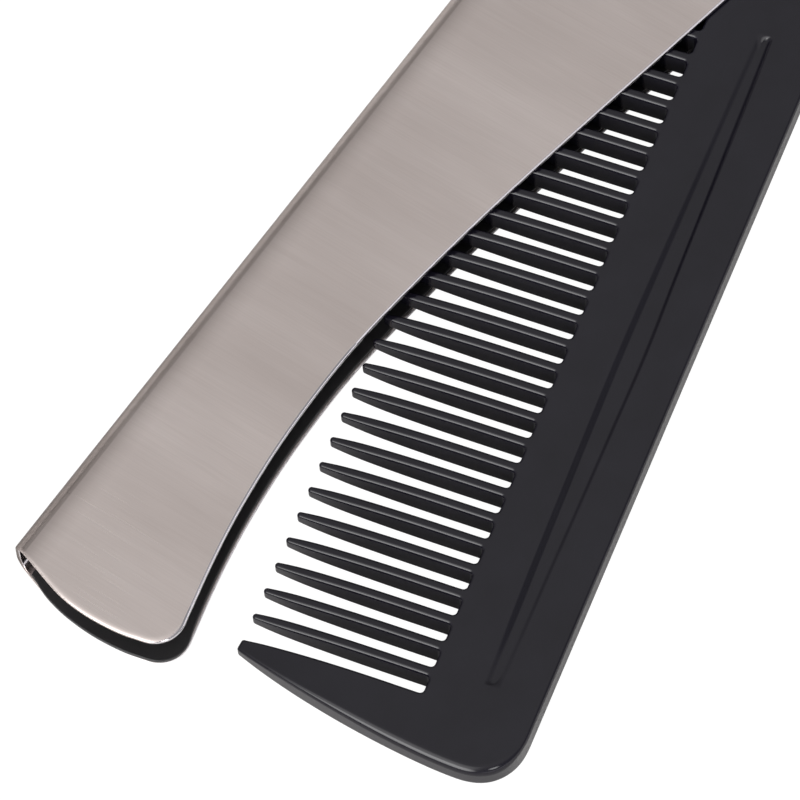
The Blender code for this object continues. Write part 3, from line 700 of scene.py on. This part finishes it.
def build_outline():
    """(u, v, edge radius) round the blade: back, free end, guard tooth, teeth, tang."""
    pts = []

    def add(path, radius):
        for p in path:
            r = radius(p) if callable(radius) else radius
            if not pts or math.dist(pts[-1][:2], p) > 0.012:
                pts.append((p[0], p[1], r))

    def back_radius(p):
        return 0.36 - 0.16 * smoothstep(p[0], 64.0, 76.0)

    add(line((PIVOT_U - 2.2, back_v(PIVOT_U - 2.2)), (0.0, back_v(0.0)), 48), back_radius)
    add(bezier((0.0, back_v(0.0)), (-3.2, -9.55), (-5.05, -8.1), (-5.05, -5.0), 26),
        lambda p: 0.36 + 0.42 * smoothstep(-p[0], 1.2, 4.2))
    add(bezier((-5.05, -5.0), (-5.0, 0.5), (-2.8, 10.5), (-1.08, 15.6), 44)[:-1],
        lambda p: 0.30 + 0.48 * smoothstep(-p[1], -15.0, 2.0) ** 0.8)
    inner = smooth_path(((0.10, 15.45), (0.19, 13.9), (0.26, 12.0), (0.32, 8.5), (0.345, 4.5), (0.337, 2.0), (0.335, 0.5)), 5)
    add(rounded((-0.93, 16.05), (-1.13, 15.45), (0.00, 15.93), 0.30, 8), 0.27)
    add(rounded((0.08, 15.92), (-0.60, 15.99), (0.10, 15.45), 0.24, 6), 0.23)
    add(inner, lambda p: 0.23 + 0.07 * smoothstep(-p[1], -15.0, -12.0))
    for k in range(1, TEETH + 2):
        a = (k - 1) * PITCH + TOOTH_SHIFT + TOOTH_W / 2 if k > 1 else 0.335
        b = k * PITCH + TOOTH_SHIFT - TOOTH_W / 2
        r = 0.36
        add(arc(a + r, r, r, 180, 270, 5), 0.29)
        add(arc(b - r, r, r, 270, 360, 5), 0.29)
        if k == TEETH + 1:
            break
        c = k * PITCH + TOOTH_SHIFT
        side = [0.9, 2.0, 3.0, 4.6, 6.2, 7.8, 9.2, 10.4, 11.3, 12.1, 12.8, 13.4, 13.95, 14.45, 14.9, 15.3, 15.6]
        edge_r = lambda v: 0.325 - 0.065 * smoothstep(v, 11.0, 15.4)
        for v in side:
            add([(c - tooth_half(v), v)], edge_r(v))
        e = tooth_half(15.64)
        add(arc(c, TOOTH_LEN - e, e, 172, 8, 10), 0.255)
        for v in side[::-1]:
            add([(c + tooth_half(v), v)], edge_r(v))
    last = LAST
    tang_top = (PIVOT_U - 3.4, PIVOT_V + math.sqrt(TANG_R ** 2 - 3.4 ** 2))
    add(line((last, 0.9), (last, 13.0), 10), 0.22)
    add(rounded((last, 15.0), (last, 0.0), tang_top, 1.2, 8), 0.20)
    a_end = math.degrees(math.atan2(-math.sqrt(TANG_R ** 2 - SHOULDER_U ** 2), SHOULDER_U))
    a_start = math.degrees(math.atan2(tang_top[1] - PIVOT_V, tang_top[0] - PIVOT_U))
    ring = arc(PIVOT_U, PIVOT_V, TANG_R, a_start, a_end, 64)
    foot = (PIVOT_U + SHOULDER_U, back_v(PIVOT_U + SHOULDER_U))
    add(ring[:-2], 0.18)
    add(rounded(foot, ring[-3], (PIVOT_U - 2.0, back_v(PIVOT_U - 2.0)), 0.6, 6), 0.18)
    return pts


outline = build_outline()
# the list runs clockwise; turn it round so that the solid is on the left
outline = outline[::-1]
plan = [(u, v) for u, v, _ in outline]
assert signed_area(plan) > 0
inn = left_normals(plan)
blade = Shape(blade_place)
STEPS = 6
blade_rings = []
for side in (1, -1):
    angles = [math.pi / 2 * i / STEPS for i in range(STEPS + 1)]       # tilt of the normal from upright
    for tilt in (angles if side > 0 else angles[::-1]):
        ring = []
        for (u, v, r), (a, b) in zip(outline, inn):
            d = r * (1 - math.sin(tilt))
            uu, vv = u + a * d, v + b * d
            half, slope = half_at(u, vv)
            z = half - r * (1 - math.cos(tilt))
            up = Vector((0.0, -slope, 1.0)).normalized()
            n = Vector((-a * math.sin(tilt), -b * math.sin(tilt), 0)) + up * math.cos(tilt)
            ring.append(blade.vert(uu, vv, side * z, (n.x, n.y, side * n.z)))
        blade_rings.append(ring)
for one, two in zip(blade_rings, blade_rings[1:]):
    blade.bridge(one, two)

# long recess with soft sloping walls, the same on both faces
stations = [smooth_path([(r[0], r[i]) for r in RECESS], 7) for i in (1, 2, 3, 4)]
START, STOP = 2.75, 69.3
WALL = [0.0, 0.06, 0.13, 0.22, 0.34, 0.48, 0.62, 0.75, 0.86, 0.94, 1.0]


def recess_ring(t):
    """One loop round the recess: t 0 at the top of the wall, 1 at its foot."""
    up = [(a[0], a[1] * (1 - t) + b[1] * t) for a, b in zip(stations[0], stations[1])]
    lo = [(a[0], a[1] * (1 - t) + b[1] * t) for a, b in zip(stations[3], stations[2])]
    u0, u1 = START + 0.50 * t, STOP - 0.40 * t
    span_u = lambda u: u0 + (u - 3.0) / 66.0 * (u1 - u0)
    up = [(span_u(u), v) for u, v in up]
    lo = [(span_u(u), v) for u, v in lo][::-1]
    r0 = (up[0][1] - lo[-1][1]) / 2 * (0.30 + 0.50 * t)
    r1 = (up[-1][1] - lo[0][1]) / 2 * (0.55 + 0.30 * t)
    ring = rounded(up[0], lo[-1], up[3], r0, 6) + [p for p in up if u0 + r0 + 0.1 < p[0] < u1 - r1 - 0.1]
    ring += rounded(up[-1], up[-4], lo[0], r1, 8) + rounded(lo[0], up[-1], lo[3], r1, 8)
    ring += [p for p in lo if u0 + r0 + 0.1 < p[0] < u1 - r1 - 0.1] + rounded(lo[-1], lo[-4], up[0], r0, 6)
    return ring


def same_count(t):
    """The ring at t, sampled like the ring at 0 so that rings can be joined."""
    ring = recess_ring(t)
    p = np.array(ring + ring[:1])
    lengths = np.r_[0, np.cumsum(np.linalg.norm(np.diff(p, axis=0), axis=1))]
    at = lengths[-1] * grid
    return np.c_[np.interp(at, lengths, p[:, 0]), np.interp(at, lengths, p[:, 1])]


first = np.array(recess_ring(0.5) + recess_ring(0.5)[:1])
run = np.r_[0, np.cumsum(np.linalg.norm(np.diff(first, axis=0), axis=1))]
fine = [np.linspace(0, 1, 170, endpoint=False)]
ends = [np.linspace(a, b, 26) for a, b in ((0.0, 0.012), (0.485, 0.515), (0.988, 0.9995))]
grid = np.unique(np.round(np.concatenate(fine + ends), 6))
grid = grid[grid < 0.9999]
grid = grid[np.r_[True, np.diff(grid) > 0.00025]]
DEEP = 0.36
holes_top, holes_bottom = [], []
outer = same_count(0.0)
foot_ring = same_count(1.0)
wall_in = left_normals([tuple(p) for p in outer])
if signed_area([tuple(p) for p in outer]) < 0:
    wall_in = -wall_in
for side, store in ((1, holes_top), (-1, holes_bottom)):
    rr = []
    for t in WALL:
        drop = t * t * (3 - 2 * t)
        steep = 6 * t * (1 - t)
        ring = []
        for (ou, ov), (fu, fv), (a, b) in zip(outer, foot_ring, wall_in):
            u, v = ou + (fu - ou) * t, ov + (fv - ov) * t
            wide = max(math.hypot(fu - ou, fv - ov), 0.05)
            deep = DEEP * (0.55 + 0.45 * smoothstep(u, 3.0, 12.0))
            ring.append(blade.vert(u, v, side * (BLADE_T / 2 - deep * drop),
                                   (a * steep * deep / wide, b * steep * deep / wide, side * 1.0)))
        rr.append(ring)
    for one, two in zip(rr, rr[1:]):
        blade.bridge(one, two)
    blade.fill([rr[-1]])
    store.append(rr[0])

# washer pockets and the bore
POCKET = 4.2
pocket_back = SHEET_T + GLUE_T + LINER_T + 0.05 + 0.55 + 0.05 - BLADE_Z
pocket_front = HANDLE_T - SHEET_T - 0.05 - 0.55 - 0.05 - BLADE_Z
bore = hole(blade, PIVOT_U, PIVOT_V, [(POCKET + 0.06, BLADE_T / 2, 0, 1), (POCKET, BLADE_T / 2 - 0.06, -1, 0), (POCKET, pocket_front, -1, 0),
                                      (1.66, pocket_front, 0, 1), (1.60, pocket_front - 0.06, -1, 0), (1.60, pocket_back + 0.06, -1, 0),
                                      (1.66, pocket_back, 0, -1), (POCKET, pocket_back, -1, 0), (POCKET, -BLADE_T / 2 + 0.06, -1, 0),
                                      (POCKET + 0.06, -BLADE_T / 2, 0, -1)], 48)
blade.fill([blade_rings[0], holes_top[0], bore[0]])
blade.fill([blade_rings[-1], holes_bottom[0], bore[-1]])
comb_moulding = blade.make("comb_moulding", comb_black)


# ------------------------------------------------------------------ pivot hardware
def lathe(name, profile, material, sides=96):
    """A closed turned body from (radius, z) corners, the first and last on the axis or the
    profile closed on itself."""
    closed = profile[0][0] > 1e-6
    p = np.array(profile, float)
    n = len(p)
    shape = Shape(lambda x, y, z, q: ((x, y, z), q))
    d = np.roll(p, -1, 0) - p
    ln = np.linalg.norm(d, axis=1, keepdims=True)
    ln[ln == 0] = 1
    d = d / ln
    nrm = np.c_[d[:, 1], -d[:, 0]] * -1.0
    rings = []
    for i, (r, z) in enumerate(p):
        before = nrm[i - 1] if (closed or i > 0) else None
        after = nrm[i] if (closed or i < n - 1) else None
        m = sum(v for v in (before, after) if v is not None)
        m = m / max(np.linalg.norm(m), 1e-9)
        if r < 1e-6:
            rings.append([shape.vert(PX, PY, z, (0, 0, m[1] if abs(m[1]) > 0.1 else 1.0))])
        else:
            rings.append([shape.vert(PX + r * math.cos(math.tau * k / sides), PY + r * math.sin(math.tau * k / sides), z,
                                     (m[0] * math.cos(math.tau * k / sides), m[0] * math.sin(math.tau * k / sides), m[1]))
                          for k in range(sides)])
    pairs = list(zip(rings, rings[1:])) + ([(rings[-1], rings[0])] if closed else [])
    for one, two in pairs:
        if len(one) == 1:
            for k in range(sides):
                shape.faces.append((one[0], two[k], two[(k + 1) % sides]))
        elif len(two) == 1:
            for k in range(sides):
                shape.faces.append((one[k], one[(k + 1) % sides], two[0]))
        else:
            shape.bridge(one, two)
    return shape.make(name, material)


def corner_arc(r_c, z_c, r, a0, a1, n):
    return [(r_c + r * math.cos(math.radians(a0 + (a1 - a0) * i / n)), z_c + r * math.sin(math.radians(a0 + (a1 - a0) * i / n)))
            for i in range(n + 1)]


seat = HANDLE_T + 0.05
dome = [(0.0, seat + 0.75)]
for i in range(1, 17):
    t = i / 17
    dome.append((3.05 * t, seat + 0.75 - 0.36 * t ** 2.4))
dome += corner_arc(3.14, seat + 0.22, 0.22, 50, -8, 7)[0:0]
dome += [(3.10, seat + 0.375), (3.20, seat + 0.335), (3.28, seat + 0.285), (3.345, seat + 0.22), (3.385, seat + 0.15),
         (3.40, seat + 0.09), (3.385, seat + 0.04), (3.35, seat + 0.01), (3.30, seat)]
dome += [(0.98, seat), (0.93, seat - 0.02), (0.90, seat - 0.06), (0.90, 1.45), (0.86, 1.34), (0.62, 1.10), (0.0, 1.10)]
rivet_head = lathe("rivet_domed_half", dome, rivet_steel)

tube = [(0.0, 0.90), (0.91, 0.90), (0.95, 0.94), (0.95, 4.38), (0.99, 4.44), (1.06, 4.45), (1.40, 4.45), (1.47, 4.43), (1.50, 4.36),
        (1.50, 0.56), (1.54, 0.51), (1.62, 0.50), (1.97, 0.50), (2.01, 0.48), (2.44, 0.07), (2.45, 0.045), (2.42, 0.02), (0.0, 0.02)]
rivet_tube_half = lathe("rivet_tube_half", tube, tube_steel)


def washer(name, z0):
    z1 = z0 + 0.55
    c = 0.08
    prof = corner_arc(4.0 - c, z1 - c, c, 90, 0, 4) + corner_arc(4.0 - c, z0 + c, c, 0, -90, 4)
    prof += corner_arc(1.56 + c, z0 + c, c, -90, -180, 4) + corner_arc(1.56 + c, z1 - c, c, 180, 90, 4)
    return lathe(name, prof, nylon, 72)


back_friction = washer("back_friction_washer", SHEET_T + GLUE_T + LINER_T + 0.05)
front_friction = washer("front_friction_washer", HANDLE_T - SHEET_T - 0.05 - 0.55)

for piece, body, cad, slot in (
        (steel_sheet, "handle", "steel_cover", "steel"),
        (liner_sheet, "handle", "back_liner", "liner"),
        (comb_moulding, "blade", "comb_blade", "comb"),
        (rivet_head, "handle", "rivet_pin", "rivet"),
        (rivet_tube_half, "handle", "rivet_tube", "rivet"),
        (front_friction, "handle", "front_washer", "washer"),
        (back_friction, "handle", "back_washer", "washer")):
    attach(piece, body)
    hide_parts(cad)

# ------------------------------------------------------------------ floor
floor_mat = bpy.data.materials.new("pale_floor")
floor_mat.use_nodes = True
ft = floor_mat.node_tree
for nd in list(ft.nodes):
    ft.nodes.remove(nd)
out = node(ft, "ShaderNodeOutputMaterial")
tone = noise(ft, stretched(ft, (3, 3, 3)), 1.0, 2.0)
fc = node(ft, "ShaderNodeTexCoord")
away = node(ft, "ShaderNodeVectorMath", {0: fc.outputs["Object"]}, operation="LENGTH").outputs["Value"]
white = mix_color(ft, tone, (0.86, 0.85, 0.84), (0.90, 0.89, 0.88))
# painted falloff of light: the floor's diffuse colour goes from pale near the middle to grey between 9 and 40 cm out
matte = node(ft, "ShaderNodeBsdfDiffuse", {"Color": mix_color(ft, span(ft, away, 0.0, 1.0, 0.09, 0.40), white, (0.36, 0.355, 0.35)),
                                           "Roughness": 0.3})
glow = node(ft, "ShaderNodeEmission", {"Color": (1.0, 1.0, 1.0, 1.0), "Strength": 1.12})
path = node(ft, "ShaderNodeLightPath")
share = math_node(ft, "MULTIPLY", path.outputs["Is Camera Ray"], 0.88)
both = node(ft, "ShaderNodeMixShader", {"Fac": share, 1: matte.outputs[0], 2: glow.outputs[0]})
ft.links.new(both.outputs[0], out.inputs["Surface"])
fm = bpy.data.meshes.new("floor")
fm.from_pydata([(-1.5, -1.5, -0.00003), (1.5, -1.5, -0.00003), (1.5, 1.5, -0.00003), (-1.5, 1.5, -0.00003)], [], [(0, 1, 2, 3)])
fm.materials.append(floor_mat)
floor = bpy.data.objects.new("floor", fm)
scene.collection.objects.link(floor)

# ------------------------------------------------------------------ light
world = bpy.data.worlds.new("studio")
scene.world = world
world.use_nodes = True
wt = world.node_tree
wc = node(wt, "ShaderNodeTexCoord")
ws = node(wt, "ShaderNodeSeparateXYZ", {"Vector": wc.outputs["Generated"]})
far = ramp(wt, ws.outputs["Z"], [(0.0, (0.11, 0.105, 0.10)), (0.20, (0.13, 0.125, 0.12)), (0.48, (0.23, 0.225, 0.22)),
                                 (0.73, (0.43, 0.425, 0.42)), (0.89, (0.56, 0.555, 0.55)), (1.0, (0.66, 0.65, 0.64))])
near = ramp(wt, ws.outputs["Z"], [(0.0, (0.10, 0.098, 0.096)), (0.14, (0.14, 0.138, 0.136)), (0.30, (0.42, 0.415, 0.41)),
                                  (1.0, (0.66, 0.65, 0.64))])
low = ramp(wt, ws.outputs["Z"], [(0.0, (1.30, 1.26, 1.30)), (0.13, (1.15, 1.12, 1.16)), (0.33, (0.25, 0.25, 0.26)),
                                 (0.72, (0.25, 0.25, 0.26)), (0.88, (0.50, 0.49, 0.49)), (1.0, (0.66, 0.65, 0.64))])


def toward(direction, a, b):
    """0 to 1 as the world direction turns from cosine a to cosine b with the one given."""
    d = Vector(direction).normalized()
    dot = node(wt, "ShaderNodeVectorMath", {0: wc.outputs["Generated"], 1: tuple(d)}, operation="DOT_PRODUCT").outputs["Value"]
    return node(wt, "ShaderNodeMapRange", {"Value": dot, "From Min": a, "From Max": b, "To Min": 0.0, "To Max": 1.0},
                interpolation_type="SMOOTHSTEP").outputs["Result"]


sky = mix_color(wt, toward((-0.95, -0.30, 0.0), -0.45, 0.35), far, near)
sky = mix_color(wt, toward((0.25, -0.97, 0.0), 0.05, 0.60), sky, low)
key = math_node(wt, "MULTIPLY", toward((-0.70, 0.10, 0.70), 0.86, 0.985), 1.05)
above = node(wt, "ShaderNodeMapRange", {"Value": ws.outputs["Z"], "From Min": 0.09, "From Max": 0.22, "To Min": 0.0, "To Max": 4.6},
             interpolation_type="SMOOTHSTEP").outputs["Result"]
key = math_node(wt, "ADD", key, math_node(wt, "MULTIPLY", toward((-0.93, 0.0, 0.37), 0.895, 0.98), above))
glint = toward((-0.38, -0.69, 0.60), 0.982, 0.994)
lobes = math_node(wt, "ADD", key, math_node(wt, "MULTIPLY", glint, 5.0))
lit = node(wt, "ShaderNodeVectorMath", {0: sky, 1: node(wt, "ShaderNodeCombineXYZ", {0: lobes, 1: lobes, 2: lobes}).outputs[0]},
           operation="ADD").outputs["Vector"]
# past the far edge of the floor the backdrop is as pale as the floor
seen = mix_color(wt, node(wt, "ShaderNodeLightPath").outputs["Is Camera Ray"], lit, (1.0, 1.0, 1.0))
wt.links.new(seen, wt.nodes["Background"].inputs["Color"])
wt.nodes["Background"].inputs["Strength"].default_value = 1.0


def softbox(name, direction, distance, size_x, size_y, radiance, color=(1, 1, 1), spin=0.0):
    """An area light seen from the object in the given direction, facing it."""
    data = bpy.data.lights.new(name, "AREA")
    data.shape = "RECTANGLE"
    data.size, data.size_y = size_x, size_y
    data.energy = radiance * math.pi * size_x * size_y      # watts for that radiance
    data.color = color
    obj = bpy.data.objects.new(name, data)
    d = Vector(direction).normalized()
    obj.location = d * distance
    obj.rotation_euler = (d.to_track_quat("Z", "Y") @ Matrix.Rotation(spin, 4, "Z").to_quaternion()).to_euler()
    scene.collection.objects.link(obj)
    return obj


softbox("overhead_box", (-0.52, 0.05, 0.85), 0.9, 0.55, 0.55, 0.55, (1.0, 0.985, 0.975))

# ------------------------------------------------------------------ camera
F_PX, PPX, PPY = 5407.9, 366.5, 423.8
right = Vector((0.57223, -0.81889, -0.04436)).normalized()
down = Vector((-0.74002, -0.49229, -0.45829)).normalized()
forward = Vector((0.35345, 0.29507, -0.88770)).normalized()
look = (forward + right * ((400 - PPX) / F_PX) + down * ((400 - PPY) / F_PX)).normalized()
across = (right - look * right.dot(look)).normalized()
up = across.cross(look).normalized()
cam_data = bpy.data.cameras.new("camera")
cam_data.sensor_width = 36.0
cam_data.lens = F_PX / 800 * 36.0
cam_data.clip_start, cam_data.clip_end = 0.01, 20.0
camera = bpy.data.objects.new("camera", cam_data)
camera.matrix_world = Matrix(((across.x, up.x, -look.x, -0.175706), (across.y, up.y, -look.y, -0.145310),
                              (across.z, up.z, -look.z, 0.407590), (0, 0, 0, 1)))
scene.collection.objects.link(camera)
scene.camera = camera
scene.view_settings.view_transform = "Standard"
scene.view_settings.look = "None"
